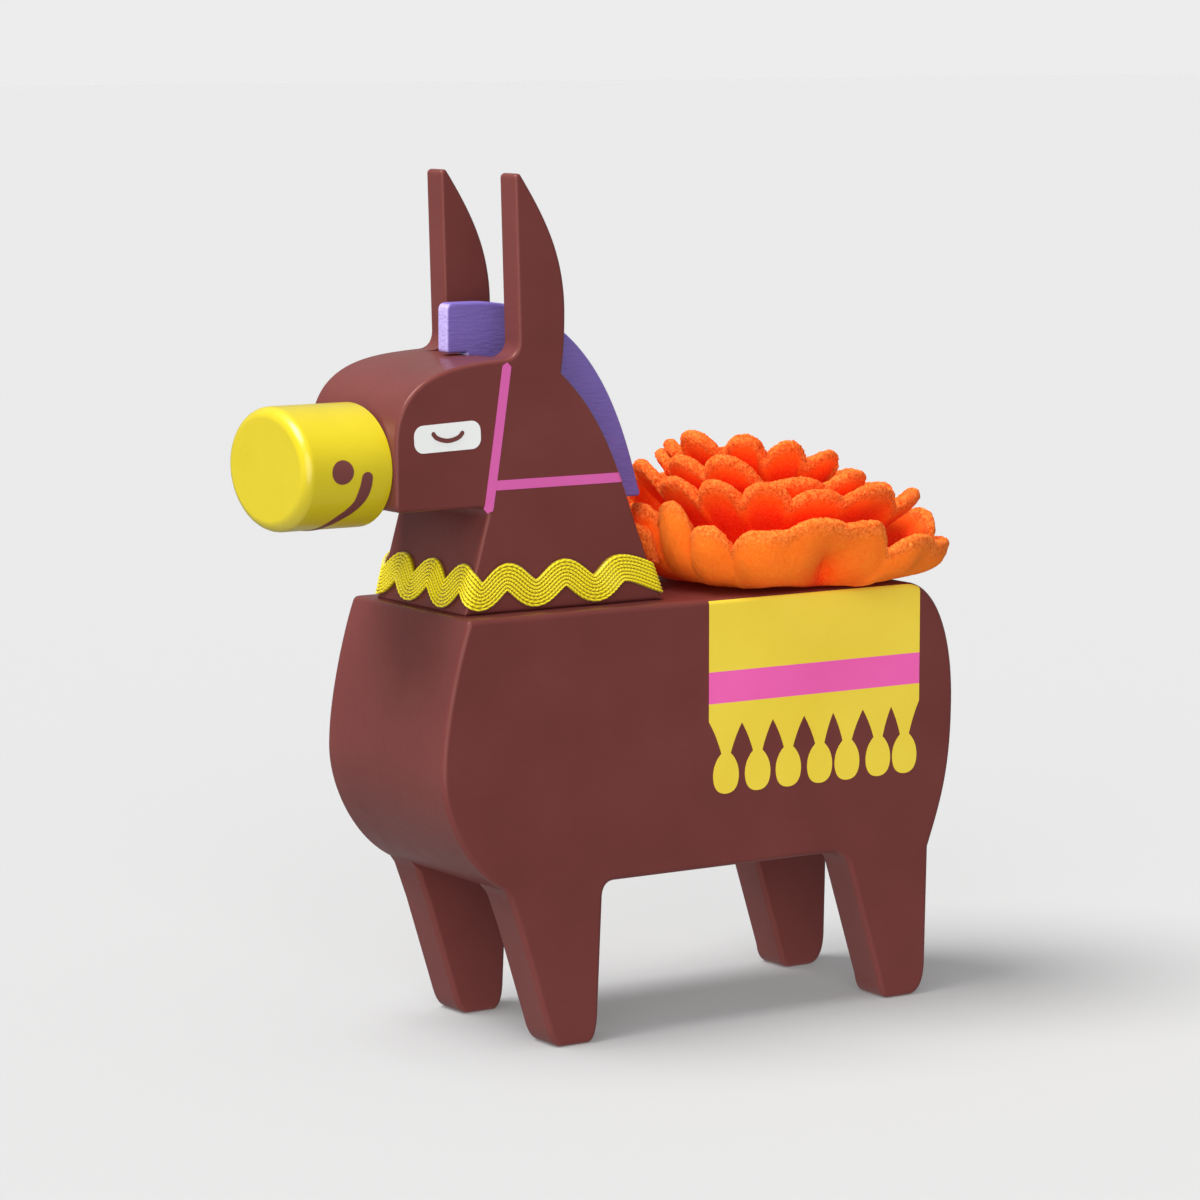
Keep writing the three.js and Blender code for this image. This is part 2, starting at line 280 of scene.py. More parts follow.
def paint(name, dark, light, rough, grain_depth, grain=(500, 60, 500), coat=0.0, front=None,
          warm=False):
    """Brushed paint on wood: faint mottling, an uneven gloss, brush ripples and wood grain. Edges
    that face the nose may be painted a paler colour: partly paler paint, partly painted light from
    the front. Warm paint has a reddish shine."""
    mat = Nodes(name)
    colour = mat.ramp(mat.noise(mat.place, 38.0, 4.0), (0.3, dark), (0.7, light))
    if front:
        colour = mat.facing_nose(colour, front)
    mat.link(colour, "Base Color")
    gloss = mat.noise(mat.stretched((60, 25, 60)), 1.6, 4.0)
    mat.link(mat.ranged(gloss, rough - 0.05, rough + 0.07), "Roughness")
    fibre = mat.noise(mat.stretched(grain), 1.0, 5.0, 0.6, 0.3)
    skin = mat.bump(fibre, 0.5, grain_depth)
    ripple = mat.noise(mat.place, 420.0, 3.0)
    mat.link(mat.bump(ripple, 0.25, 0.00006, skin), "Normal")
    mat.set(Specular_IOR_Level=0.4, Coat_Weight=coat, Coat_Roughness=0.18)
    if warm:
        mat.set(Specular_IOR_Level=0.36, Specular_Tint=(1.0, 0.6, 0.5, 1))
    return mat.material


def birch(name):
    """Bare pale wood with long grain."""
    mat = Nodes(name)
    grain = mat.noise(mat.stretched((900, 900, 60)), 1.0, 5.0, 0.6, 0.5)
    mat.link(mat.ramp(grain, (0.3, (196, 160, 112)), (0.7, (226, 196, 150))), "Base Color")
    mat.link(mat.ranged(grain, 0.6, 0.8), "Roughness")
    mat.link(mat.bump(grain, 0.4, 0.0001), "Normal")
    return mat.material


def rayon(name):
    """Shiny braid yarn, with painted shade in the gaps between its strands and stitches."""
    mat = Nodes(name)
    # gap is painted shade in the gaps; top is the yarn's colour where lit, on the stitches.
    gap, top = (138, 106, 0), (252, 234, 26)
    mat.link(mat.ramp(mat.attribute("raised"), (0.0, gap), (0.6, top)), "Base Color")
    fibres = mat.noise(mat.place, 2600.0, 2.0, 0.5, 0.4)
    mat.link(mat.ranged(fibres, 0.3, 0.48), "Roughness")
    mat.link(mat.bump(fibres, 0.5, 0.00005), "Normal")
    mat.set(Sheen_Weight=0.15, Sheen_Roughness=0.4, Specular_IOR_Level=0.5)
    return mat.material


def felt(name):
    """Thick fuzzy felt: painted shade in deep red between the petals, orange above, specks of fluff
    on the rims, and a faint glow in its own colour, which is painted light.
    """
    mat = Nodes(name)
    fluff = mat.noise(mat.place, 1500.0, 5.0, 0.7, 0.6)
    tufts = mat.noise(mat.place, 420.0, 4.0, 0.65, 0.4)
    # The tone runs from painted shade in deep red at 0 to the pale orange of lit felt at 1.
    face = mat.ramp(
        mat.attribute("painted_shade_tone"),
        (0.0, (236, 18, 0)), (0.3, (248, 42, 0)), (0.6, (255, 88, 8)), (1.0, (255, 126, 32)),
    )
    specks = mat.ramp(fluff, (0.38, (158, 18, 0)), (0.64, (255, 158, 80)))
    share = mat.ranged(mat.attribute("rim"), 0.14, 0.54, 0.0, 1.0)
    blend = mat.mixer(share, face)
    mat.link(specks, blend.inputs["B"])
    mat.link(blend.outputs["Result"], "Base Color")
    # Painted light: the felt glows faintly in its own colour.
    mat.link(blend.outputs["Result"], "Emission Color")
    coarse = mat.bump(tufts, 0.5, 0.0006)
    mat.link(mat.bump(fluff, 0.8, 0.0004, coarse), "Normal")
    mat.link(mat.ranged(fluff, 0.85, 1.0), "Roughness")
    mat.set(Sheen_Weight=0.08, Sheen_Roughness=0.5, Sheen_Tint=(1.0, 0.4, 0.15, 1))
    mat.set(Specular_IOR_Level=0.05, Emission_Strength=0.07)
    mat.set(Subsurface_Weight=0.35, Subsurface_Scale=0.0025, Subsurface_Radius=(1.0, 0.25, 0.05))
    return mat.material


# ---- mesh building ----


def build(name, points, faces, material, slot, replaced=(), normals=None, sharp=40, mirror=False):
    """A named piece from points in millimetres, riding on the figure. Its edges look sharp where
    they turn by more than sharp degrees, unless it comes with normals of its own."""
    points = np.array(points, float) * MM
    if mirror:
        points = points * (-1, 1, 1)
        faces = [tuple(reversed(face)) for face in faces]
        if normals is not None:
            normals = normals * (-1, 1, 1)
    mesh = bpy.data.meshes.new(name)
    mesh.from_pydata([tuple(p) for p in points], [], [tuple(f) for f in faces])
    mesh.materials.append(material)
    mesh.shade_smooth()
    if normals is None:
        mesh.set_sharp_from_angle(angle=math.radians(sharp))
    else:
        mesh.normals_split_custom_set_from_vertices([tuple(n) for n in normals])
    piece = bpy.data.objects.new(name, mesh)
    bpy.context.scene.collection.objects.link(piece)
    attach(piece, "root")
    if replaced:
        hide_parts(*replaced)
    return piece


def unit(vectors):
    return vectors / np.linalg.norm(vectors, axis=-1, keepdims=True)


def travelled(path):
    """How far along a path each of its points is."""
    return np.concatenate([[0], np.cumsum(np.linalg.norm(np.diff(path, axis=0), axis=1))])


def grid(rows, columns, closed_rows=False, closed_columns=False):
    """Faces of a grid of points given row by row, which may close on itself either way."""
    faces = []
    for i in range(rows if closed_rows else rows - 1):
        a, b = i * columns, (i + 1) % rows * columns
        for j in range(columns if closed_columns else columns - 1):
            k = (j + 1) % columns
            faces.append((a + j, a + k, b + k, b + j))
    return faces


def bezier(controls, share):
    """Points of a Bezier curve of any degree."""
    share = share[:, None]
    rows = [share * 0 + np.asarray(control, float) for control in controls]
    while len(rows) > 1:
        rows = [a + (b - a) * share for a, b in zip(rows, rows[1:])]
    return rows[0]


# The longest steps along an outline's lines and curves, and how much of the room inside a corner
# an edge's rounding may take.
LINE_STEP = 0.6
CURVE_STEP = 0.5
CORNER_ROOM = 0.9


def fitting_round(shape, radius):
    """An edge rounding that shrinks at corners too tight for it: each point's is less than the
    radius of the largest circle that touches the outline there from inside."""
    points, normals = shape
    away = points[:, None] - points[None]
    facing = (away * normals[:, None]).sum(2)
    circle = np.where(facing > 1e-6, (away**2).sum(2) / np.maximum(2 * facing, 1e-9), 1e3)
    return np.minimum(radius, CORNER_ROOM * circle.min(1))


def outline(start, *moves):
    """A closed outline and its outward normals. A move is the control points, if any, and the end."""
    points = [np.array([start], float)]
    for move in moves:
        controls = [points[-1][-1], *move]
        reach = sum(math.dist(a, b) for a, b in zip(controls, controls[1:]))
        step = LINE_STEP if len(move) == 1 else CURVE_STEP
        count = max(2, math.ceil(reach / step))
        points.append(bezier(controls, np.linspace(0, 1, count + 1)[1:]))
    points = np.concatenate(points)
    if math.dist(points[0], points[-1]) < 1e-6:
        points = points[:-1]
    along = np.roll(points, -1, 0) - np.roll(points, 1, 0)
    return points, unit(np.stack([-along[:, 1], along[:, 0]], 1))


# Outlines seen from the side, as (y, z). From the chest's foot up the chest, along the back and
# down to the widest point of the rump.
CHEST_FOOT = (-44.3, 39.4)
TORSO_TOP = [
    ((-54.2, 44.7), (CHEST_Y, 57.6), (CHEST_Y, 68)),
    ((CHEST_Y, 80), (-56.2, 97), (-54.2, BACK_Z - 1.6)),
    ((-53.8, BACK_Z), (-52.4, BACK_Z)),
    ((72, BACK_Z),),
    ((80.9, BACK_Z), (RUMP_Y, 91.9), (RUMP_Y, 74)),
]


def torso_core_outline():
    return outline(
        CHEST_FOOT,
        *TORSO_TOP,
        ((RUMP_Y, 55.7), (83.9, 47.9), (80.4, 38.9)),
        ((80.2, BELLY_Z), (79.4, BELLY_Z)),
        ((-42.5, BELLY_Z),),
        (CHEST_FOOT,),
    )


def flank_outline():
    return outline(
        CHEST_FOOT,
        *TORSO_TOP,
        ((RUMP_Y, 55.7), (83.9, 47.9), (79.9, 37.1)),
        ((79.3, 8),),
        ((79, 0), (74.2, 0)),
        ((68.4, 0),),
        ((65.6, 0), (64.9, 4.6)),
        ((55.9, 33.5),),
        ((54.4, BELLY_Z), (50, BELLY_Z)),
        ((-13.2, BELLY_Z),),
        ((-16.6, BELLY_Z), (-16.7, 34.5)),
        ((-18, 6.3),),
        ((-18.4, 0), (-21, 0)),
        ((-28, 0),),
        ((-31, 0), (-32.5, 5.5)),
        ((-39.7, 28.6),),
        ((-43, 37.6),),
        (CHEST_FOOT,),
    )


NECK_BACK = (NECK_BACK_Y, BACK_Z)
CROWN = (-23.7, 159.1)
FACE_MOVES = [
    ((NECK_FRONT_Y, BACK_Z),),
    ((-44.4, 126.4),),
    ((-43.9, CHIN_Z), (-46.4, CHIN_Z)),
    ((FACE_Y + 2, CHIN_Z),),
    ((FACE_Y, CHIN_Z), (FACE_Y, CHIN_Z + 2)),
    ((FACE_Y, 144),),
    ((FACE_Y, 160.8), (-53, 162), (-43, 162.8)),
]
NAPE_MOVES = [((-10, 147), (-6.8, 132), (-1.1, 118)), (NECK_BACK,)]


def head_core_outline():
    return outline(NECK_BACK, *FACE_MOVES, ((-35, 163.2), (-27, 161.5), CROWN), *NAPE_MOVES)


def cheek_outline():
    tip = EAR_TIP_Z
    ear = [
        ((-39.6, 163),),
        ((-35.8, 163.2), (-35.6, 167)),
        ((-36.7, tip - 1.1),),
        ((-36.7, tip - 0.49), (-36.21, tip), (-35.6, tip)),
        ((-35.2, tip), (-34.9, tip - 0.17), (-34.69, tip - 0.48)),
        ((-27.3, 194.5), (-22.7, 185.9), (-22.7, 173)),
        ((-22.7, 167.8), (-23, 163.6), CROWN),
    ]
    return outline(NECK_BACK, *FACE_MOVES, *ear, *NAPE_MOVES)


def mane_outline():
    front, top = MANE_LOW[1], MANE_HIGH[2]
    tail_y, tail_z = MANE_HIGH[1], MANE_LOW[2]
    return outline(
        (-38.8, 163.4),
        ((front + 1, 163.4),),
        ((front, 163.4), (front, 164.4)),
        ((front, top - 2),),
        ((front, top), (front + 2, top)),
        ((-36.6, top),),
        ((0.2, top), (6.8, 136.2), (tail_y - 0.4, tail_z + 1.4)),
        ((tail_y, tail_z), (tail_y - 1.4, tail_z)),
        ((-8.4, tail_z),),
        ((-13.5, 142), (-20, 153.5), (-30, 157.6)),
        ((-38.8, 158.6),),
        ((-38.8, 163.4),),
    )


ROUND_STEPS = 6


def board(points, normals, low, high, low_round, high_round):
    """A board cut to an outline between two planes, its edges rounded. Roundings may vary along
    the outline. Returns the (u, v, w) points, their normals and the faces."""
    count = len(points)
    low_round = np.broadcast_to(np.asarray(low_round, float), count)[:, None]
    high_round = np.broadcast_to(np.asarray(high_round, float), count)[:, None]
    rings, directions = [], []
    for side, plane, radius in ((-1, low, low_round), (1, high, high_round)):
        turns = np.linspace(0, math.pi / 2, ROUND_STEPS + 1)
        for turn in turns if side > 0 else turns[::-1]:
            inset = radius * (1 - math.cos(turn))
            depth = plane - side * radius * (1 - math.sin(turn))
            rings.append(np.hstack([points - normals * inset, depth]))
            out = normals * math.cos(turn)
            directions.append(np.hstack([out, np.full((count, 1), side * math.sin(turn))]))
    faces = [(a, d, c, b) for a, b, c, d in grid(len(rings), count, closed_columns=True)]
    last = (len(rings) - 1) * count
    faces.append(tuple(range(count)))
    faces.append(tuple(range(last + count - 1, last - 1, -1)))
    return np.concatenate(rings), np.concatenate(directions), faces


def sideways(values):
    """Turns (y, z, x) columns into (x, y, z)."""
    return values[:, [2, 0, 1]]


# ---- wooden body ----


# Where the ears stand clear of the head, and the height over which inner edges become rounded.
EAR_FOOT_Z = 163.1
BLEND_HEIGHT = 2.5


def side_board(name, shape, low, high, low_round, high_round, material, slot, node, mirror=False):
    points, normals, faces = board(*shape, low, high, low_round, high_round)
    return build(
        name, sideways(points), faces, material, slot, (node,), sideways(normals), mirror=mirror
    )


def board_pair(name, shape, inner_x, outer_x, radius, shown, material, slot, node):
    """The left and right boards of a pair. Their inner edges are fully rounded where shown is 1,
    and next to sharp where it is 0, in the glued joint."""
    outer = fitting_round(shape, radius)
    inner = SEAM_ROUND + (outer - SEAM_ROUND) * np.clip(shown, 0, 1)
    for side in ("left", "right"):
        side_board(
            side + name, shape, inner_x, outer_x, inner, outer,
            material, slot, side + node, side == "right",
        )


def make_body(brown):
    side_board(
        "torso_core_wood", torso_core_outline(), -CORE_X, CORE_X, SEAM_ROUND, SEAM_ROUND,
        brown, "brown_paint", "torso_core",
    )
    shape = flank_outline()
    legs = (BELLY_Z + 0.3 - shape[0][:, 1]) / BLEND_HEIGHT
    board_pair(
        "_flank_wood", shape, CORE_X, FLANK_X, TORSO_ROUND, legs,
        brown, "brown_paint", "_flank_panel",
    )


def make_head(brown):
    side_board(
        "head_core_wood", head_core_outline(), -HEAD_CORE_X, HEAD_CORE_X, SEAM_ROUND, SEAM_ROUND,
        brown, "brown_paint", "head_core",
    )
    shape = cheek_outline()
    ears = (shape[0][:, 1] - EAR_FOOT_Z) / BLEND_HEIGHT
    board_pair(
        "_cheek_wood", shape, HEAD_CORE_X, CHEEK_X, HEAD_ROUND, ears,
        brown, "brown_paint", "_cheek_panel",
    )


def make_mane(purple):
    shape = mane_outline()
    edge = fitting_round(shape, MANE_ROUND)
    side_board(
        "mane_board", shape, MANE_LOW[0], MANE_HIGH[0], edge, edge,
        purple, "purple_paint", "mane_slat",
    )


MUZZLE_SIDES = 160
MUZZLE_RIM = 2.7
MUZZLE_BACK_RIM = 0.35


def muzzle_oval(turn):
    """Points (x, z) of the muzzle's oval, round its own middle, and the directions out of it."""
    points = np.stack([MUZZLE_HALF_WIDTH * np.cos(turn), MUZZLE_HALF_HEIGHT * np.sin(turn)], 1)
    out = np.stack([np.cos(turn) / MUZZLE_HALF_WIDTH, np.sin(turn) / MUZZLE_HALF_HEIGHT], 1)
    return points, unit(out)


def make_muzzle(yellow):
    turn = np.linspace(0, -2 * math.pi, MUZZLE_SIDES, endpoint=False)
    low, high = -MUZZLE_HIGH[1], -MUZZLE_LOW[1]
    points, out, faces = board(*muzzle_oval(turn), low, high, MUZZLE_BACK_RIM, MUZZLE_RIM)
    flip = np.array([1, -1, 1])
    points = points[:, [0, 2, 1]] * flip + (0, 0, MUZZLE_Z)
    out = out[:, [0, 2, 1]] * flip
    build("muzzle_block", points, faces, yellow, "yellow_paint", ("muzzle",), out)


# ---- paint decoration ----


def facing_out(flat, faces):
    """Turns the faces the way round that points out of a left-hand surface drawn in (y, z)."""
    area = 0.0
    for face in faces:
        corners = flat[list(face)]
        ahead = np.roll(corners, -1, 0)
        area += (corners[:, 0] * ahead[:, 1] - ahead[:, 0] * corners[:, 1]).sum()
    return [tuple(face if area > 0 else face[::-1]) for face in faces]


def film(name, flat, faces, place, material, slot=None, mirror=False, thickness=PAINT_FILM):
    """A thin layer of paint over a surface. place(flat, height) gives points above the surface."""
    count = len(flat)
    faces = facing_out(flat, faces)
    edges = {edge for face in faces for edge in zip(face, face[1:] + face[:1])}
    rim = sorted((a, b) for a, b in edges if (b, a) not in edges)
    all_faces = list(faces)
    all_faces += [tuple(count + i for i in reversed(face)) for face in faces]
    all_faces += [(b, a, a + count, b + count) for a, b in rim]
    points = np.concatenate([place(flat, thickness), place(flat, -PAINT_ROOT)])
    return build(name, points, all_faces, material, slot, sharp=35, mirror=mirror)


def film_pair(name, flat, faces, place, material, slot=None, thickness=PAINT_FILM):
    for side in ("left", "right"):
        film(name + "_" + side, flat, faces, place, material, slot, side == "right", thickness)


def board_face(shape, radius, face_x):
    """How paint lies on a board's outer face and over its rounded edge."""
    points, normals = shape
    fit = fitting_round(shape, radius)
    start = points - normals * fit[:, None]
    end, end_normals = np.roll(start, -1, 0), np.roll(normals, -1, 0)
    step = end - start
    length2 = np.maximum((step**2).sum(1), 1e-12)

    def place(flat, height):
        placed = []
        for point in flat:
            share = np.clip(((point - start) * step).sum(1) / length2, 0, 1)[:, None]
            near = start + step * share
            away = point - near
            i = int(np.argmin((away**2).sum(1)))
            out = normals[i] * (1 - share[i]) + end_normals[i] * share[i]
            over = float(away[i] @ out)
            if over <= 0:
                placed.append((face_x + height, *point))
                continue
            bend = fit[i]
            turn = min(over / bend, math.pi / 2)
            reach = (bend + height) * math.sin(turn)
            edge = near[i] + out * reach
            placed.append((face_x - bend + (bend + height) * math.cos(turn), *edge))
        return np.array(placed)

    return place


def ribbon(path, widths, across=3):
    """A strip of the given widths along a path, as a grid of flat points."""
    along = unit(np.gradient(path, axis=0))
    sideward = np.stack([along[:, 1], -along[:, 0]], 1)
    rows = [path + sideward * (widths * share)[:, None] for share in np.linspace(-0.5, 0.5, across)]
    return np.concatenate(rows), [face[::-1] for face in grid(across, len(path))]


def smooth_path(points, count):
    """A smooth curve of count points through the given points, with any number of columns."""
    points = np.array(points, float)
    padded = np.vstack([2 * points[0] - points[1], points, 2 * points[-1] - points[-2]])
    result = []
    for position in np.linspace(0, len(points) - 1, count):
        i = min(int(position), len(points) - 2)
        t = position - i
        a, b, c, d = padded[i : i + 4]
        square = (2 * a - 5 * b + 4 * c - d) * t**2
        cube = (3 * b - a - 3 * c + d) * t**3
        result.append(0.5 * (2 * b + (c - a) * t + square + cube))
    return np.array(result)


# The painted blanket, as (y, z) on the flank: its edges, its band, and its seven tassels.
BLANKET = {"front": 13.3, "rear": 76.2, "band_top": 86.2, "band_low": 78.5, "corner": 74.2}
TASSEL = {"neck_z": 66.2, "neck": 1.35, "half": 3.75, "wide_z": 60.7, "low_z": 56.4}
SHOULDER_Z = 64.0
TASSEL_Y = (18.3, 27.6, 36.7, 46.05, 54.3, 63.7, 71.8)
GAP_Y = (22.9, 32.0, 41.3, 50.0, 59.0, 67.6)
GAP_TOP = 73.4


def tassel_edge(side, centre, top):
    """Down one side of a tassel: from the blanket's edge to the neck and round the drop."""
    neck_z, neck, half = TASSEL["neck_z"], TASSEL["neck"], TASSEL["half"]
    wide_z, low_z = TASSEL["wide_z"], TASSEL["low_z"]
    share = np.linspace(0, 1, 9)
    neck_y, side_y = centre + side * neck, centre + side * half
    bend = (top[0] + (neck_y - top[0]) * 0.62, top[1] + (neck_z - top[1]) * 0.45)
    upper = bezier([top, bend, (neck_y, neck_z)], share)
    shoulder = bezier([(neck_y, neck_z), (side_y, SHOULDER_Z), (side_y, wide_z)], share)
    low_bend = (centre + side * half * 0.95, low_z)
    bottom = bezier([(side_y, wide_z), low_bend, (centre, low_z)], share)
    return np.concatenate([upper, shoulder[1:], bottom[1:]])


def fringe_outline():
    """The blanket below the pink band, with its row of hanging tassels."""
    left = [(BLANKET["front"], BLANKET["corner"])] + [(y, GAP_TOP) for y in GAP_Y]
    right = [(y, GAP_TOP) for y in GAP_Y] + [(BLANKET["rear"], BLANKET["corner"])]
    points = [np.array([(BLANKET["front"], BLANKET["band_low"])])]
    for centre, near, far in zip(TASSEL_Y, left, right):
        points.append(tassel_edge(-1, centre, near))
        points.append(tassel_edge(1, centre, far)[::-1][1:])
    points.append(np.array([(BLANKET["rear"], BLANKET["band_low"])]))
    points = np.concatenate(points)
    keep = np.linalg.norm(points - np.roll(points, 1, 0), axis=1) > 1e-6
    return points[keep]


def make_blanket(yellow, pink):
    place = board_face(flank_outline(), TORSO_ROUND, FLANK_X)
    fringe = fringe_outline()
    front, rear = BLANKET["front"], BLANKET["rear"]
    low, high = BLANKET["band_low"], BLANKET["band_top"]
    edge_z = BACK_Z - TORSO_ROUND
    heights = np.concatenate([
        np.linspace(high, edge_z - 1, 6),
        np.linspace(edge_z - 0.6, edge_z + 0.75 * TORSO_ROUND, 8),
    ])
    lengths = np.linspace(front, rear, 60)
    torso = flank_outline()[0]
    rump = torso[(torso[:, 1] > 95) & (torso[:, 0] > 60)]
    drop = BACK_Z - np.interp(lengths, rump[:, 0], rump[:, 1])
    cover = np.array([
        (y, z - fall * (z > BACK_Z - 3 * TORSO_ROUND))
        for z in heights for y, fall in zip(lengths, drop)
    ])
    band = np.array([(front, low), (rear, low), (rear, high), (front, high)])
    film_pair("blanket_cover", cover, grid(len(heights), len(lengths)), place, yellow)
    film_pair("blanket_fringe", fringe, [tuple(range(len(fringe)))], place, yellow)
    film_pair("blanket_band", band, [(0, 1, 2, 3)], place, pink)


def rounded_ends(distance, width, tip):
    """Width of a brush stroke that is rounded off at both ends, over the length of a tip."""
    near = np.minimum(distance, distance[-1] - distance)
    inside = np.clip(1 - near / tip, 0, 1)
    return width * np.sqrt(np.clip(1 - inside**2, 0.0009, 1))


def stroke(points, width, tip=None, count=48, across=3):
    """A painted stroke of even width along a smooth path, rounded at its ends."""
    path = smooth_path(points, count)
    return ribbon(path, rounded_ends(travelled(path), width, tip or width / 2), across)


# The nape strap's paint is thinner, so that it ends under the cheek strap's.
NAPE_FILM = 0.6 * PAINT_FILM


def make_halter(pink):
    place = board_face(cheek_outline(), HEAD_ROUND, CHEEK_X)
    cheek_strap = stroke([(-38.9, 162.2), (-41.6, 144.0), (-44.2, 127.3)], 2.4)
    nape_strap = stroke([(-43.2, 133.75), (-24, 133.75), (-6.4, 133.75)], 2.3, 0.02, 150, 7)
    film_pair("halter_cheek_strap", *cheek_strap, place, pink)
    film_pair("halter_nape_strap", *nape_strap, place, pink, None, NAPE_FILM)


# A Bezier curve whose handles go this far towards the corner is close to a quarter circle.
BEND = 0.55
EYE_CORNERS = ((-64.2, 148.6), (-46.4, 149.3), (-46.1, 142.7), (-64.0, 142.2))
EYE_CORNER_ROUND = 2.4
EYELID = ((-59.4, 147.0), (-58.0, 145.6), (-55.2, 144.9), (-52.4, 145.5), (-50.9, 146.9))
EYELID_WIDTH = 1.05


def rounded_corners(corners, radius):
    """A polygon with its corners rounded off."""
    points = []
    corners = np.array(corners)
    around = zip(np.roll(corners, 1, 0), corners, np.roll(corners, -1, 0))
    for before, corner, after in around:
        start = corner + unit(before - corner) * radius
        end = corner + unit(after - corner) * radius
        bends = [start + (corner - start) * BEND, end + (corner - end) * BEND]
        points.append(bezier([start, *bends, end], np.linspace(0, 1, 8)))
    return np.concatenate(points)


def make_eyes(white, brown):
    place = board_face(cheek_outline(), HEAD_ROUND, CHEEK_X)

    def raised(flat, height):
        return place(flat, height + (PAINT_FILM if height > 0 else 0))

    patch = rounded_corners(EYE_CORNERS, EYE_CORNER_ROUND)
    film_pair("eye_patch", patch, [tuple(range(len(patch)))], place, white)
    film_pair("eyelid", *stroke(EYELID, EYELID_WIDTH), raised, brown)


def muzzle_lengths():
    """Angles round the muzzle's oval, and the arc length from its +X side to each."""
    turn = np.linspace(-2 * math.pi, 2 * math.pi, 4001)
    speed = np.hypot(MUZZLE_HALF_WIDTH * np.sin(turn), MUZZLE_HALF_HEIGHT * np.cos(turn))
    length = np.concatenate([[0], np.cumsum((speed[1:] + speed[:-1]) / 2 * np.diff(turn))])
    return turn, length - np.interp(0, turn, length)


def muzzle_arc(degrees):
    return np.interp(np.radians(degrees), *muzzle_lengths())


def on_muzzle(flat, height):
    """Flat (y, arc) points on the muzzle's oval wall, at a height above it."""
    turn, length = muzzle_lengths()
    points, out = muzzle_oval(np.interp(flat[:, 1], length, turn))
    x, z = (points + out * height).T
    return np.stack([x, flat[:, 0], MUZZLE_Z + z], 1)


# The smile runs from one cheek round under the muzzle to the other: each place is an angle on
# the oval, its y, and the stroke's width there.
NOSTRIL = {"y": -82.2, "degrees": 1.8, "radius": 2.8}
SMILE = (
    (1, -75.7, 2.6), (-4, -75.8, 2.8), (-12, -76.0, 3.0), (-21, -76.4, 3.0), (-29, -77.0, 2.6),
    (-38, -78.3, 2.5), (-49, -80.2, 2.3), (-66, -81.8, 1.4), (-90, -82.5, 1.1),
)
SMILE_TIP = 1.3


def make_mouth(brown):
    rings, sides = 4, 40
    turn = np.linspace(0, 2 * math.pi, sides, endpoint=False)
    spokes = NOSTRIL["radius"] * np.stack([np.cos(turn), np.sin(turn)], 1)
    centre = np.array([NOSTRIL["y"], muzzle_arc(NOSTRIL["degrees"])])
    disc = np.concatenate([centre + spokes * (rings - i) / rings for i in range(rings)])
    faces = [tuple(range((rings - 1) * sides, rings * sides))]
    faces += grid(rings, sides, closed_columns=True)
    film_pair("nostril", disc, faces, on_muzzle, brown, "brown_paint")

    half = [(y, float(muzzle_arc(degrees)), width) for degrees, y, width in SMILE]
    middle = half[-1][1]
    whole = half + [(y, 2 * middle - arc, width) for y, arc, width in half[-2::-1]]
    line = smooth_path(whole, 160)
    path, widths = line[:, :2], line[:, 2]
    smile = ribbon(path, widths * rounded_ends(travelled(path), 1.0, SMILE_TIP), 5)
    film("smile", *smile, on_muzzle, brown, "brown_paint")


# ---- ric-rac collar ----
# How far the neck's front and back move towards the rump for each millimetre up.
NECK_LEAN = {"front": 0.2785, "back": -0.394}
# The braid: the height of its middle, how far its wave swings, its size, how many ribs it has
# across, how its stitches lie on the ribs, and how dark the painted shade between its stitches
# is (shade).
BRAID = {
    "middle": 110.1, "swing": 2.15, "half_width": 3.3, "thickness": 1.15, "corner": 1.1,
    "ribs": 8, "rib_depth": 0.36, "rib_roundness": 2.4,
    "stitch": 0.88, "stitch_depth": 0.18, "stitch_lean": 0.45,
    "edge_from": 0.93, "edge_drop": 0.35, "edge_inset": 0.1, "underside": 0.08, "shade": 0.35,
}
BRAID_STEPS = 1400
STEPS_PER_RIB = 6
# Where the wave's crests are on the left side and on the front, and how many follow unseen.
BRAID_CRESTS = {"side_y": (-7.6, -23.4, -39.3), "front_x": (16.2, 2.0, -12.0), "hidden": 6}


def neck_section(z, out):
    """The neck's outline at a height, out from the wood: the middle's y, half the flat width and
    half the flat depth between the corners, and the corners' radius."""
    rise = z - BACK_Z
    front = NECK_FRONT_Y + rise * NECK_LEAN["front"] - out
    back = NECK_BACK_Y + rise * NECK_LEAN["back"] + out
    corner = BRAID["corner"] + out
    return (front + back) / 2, CHEEK_X + out - corner, (back - front) / 2 - corner, corner


def neck_loop(along, z, out):
    """Points round the neck: along is 0 at the middle of the back, 0.25 at +X, and so on."""
    middle, flat_x, flat_y, corner = neck_section(z, out)
    arc = math.pi / 2 * corner
    quarter = flat_x + arc + flat_y
    position = along * 4 * quarter
    lap = np.floor(position / quarter).astype(int) % 4
    rest = np.mod(position, quarter)
    rest = np.where(lap % 2 == 1, quarter - rest, rest)
    angle = np.clip((rest - flat_x) / corner, 0, math.pi / 2)
    x = np.minimum(rest, flat_x) + corner * np.sin(angle)
    y = flat_y + corner * np.cos(angle) - np.maximum(rest - flat_x - arc, 0)
    x = np.where(lap < 2, x, -x)
    y = middle + np.where((lap == 0) | (lap == 3), y, -y)
    return np.stack([x, y, z], -1)


def braid_phase():
    """Where the wave's crests are round the neck, and the number of each."""
    turns = np.linspace(0, 1, 4001)
    loop = neck_loop(turns, np.full(len(turns), BRAID["middle"]), np.zeros(len(turns)))
    side = (loop[:, 0] > CHEEK_X - 0.01) & (turns < 0.5)
    front = loop[:, 1] < loop[:, 1].min() + 0.01
    crests = [0.0]
    for y in BRAID_CRESTS["side_y"]:
        crests.append(turns[side][np.argmin(abs(loop[side][:, 1] - y))])
    for x in BRAID_CRESTS["front_x"]:
        crests.append(turns[front][np.argmin(abs(loop[front][:, 0] - x))])
    hidden = np.linspace(crests[-1], 1, BRAID_CRESTS["hidden"] + 1)[1:]
    return np.concatenate([crests, hidden]), np.arange(len(crests) + len(hidden))


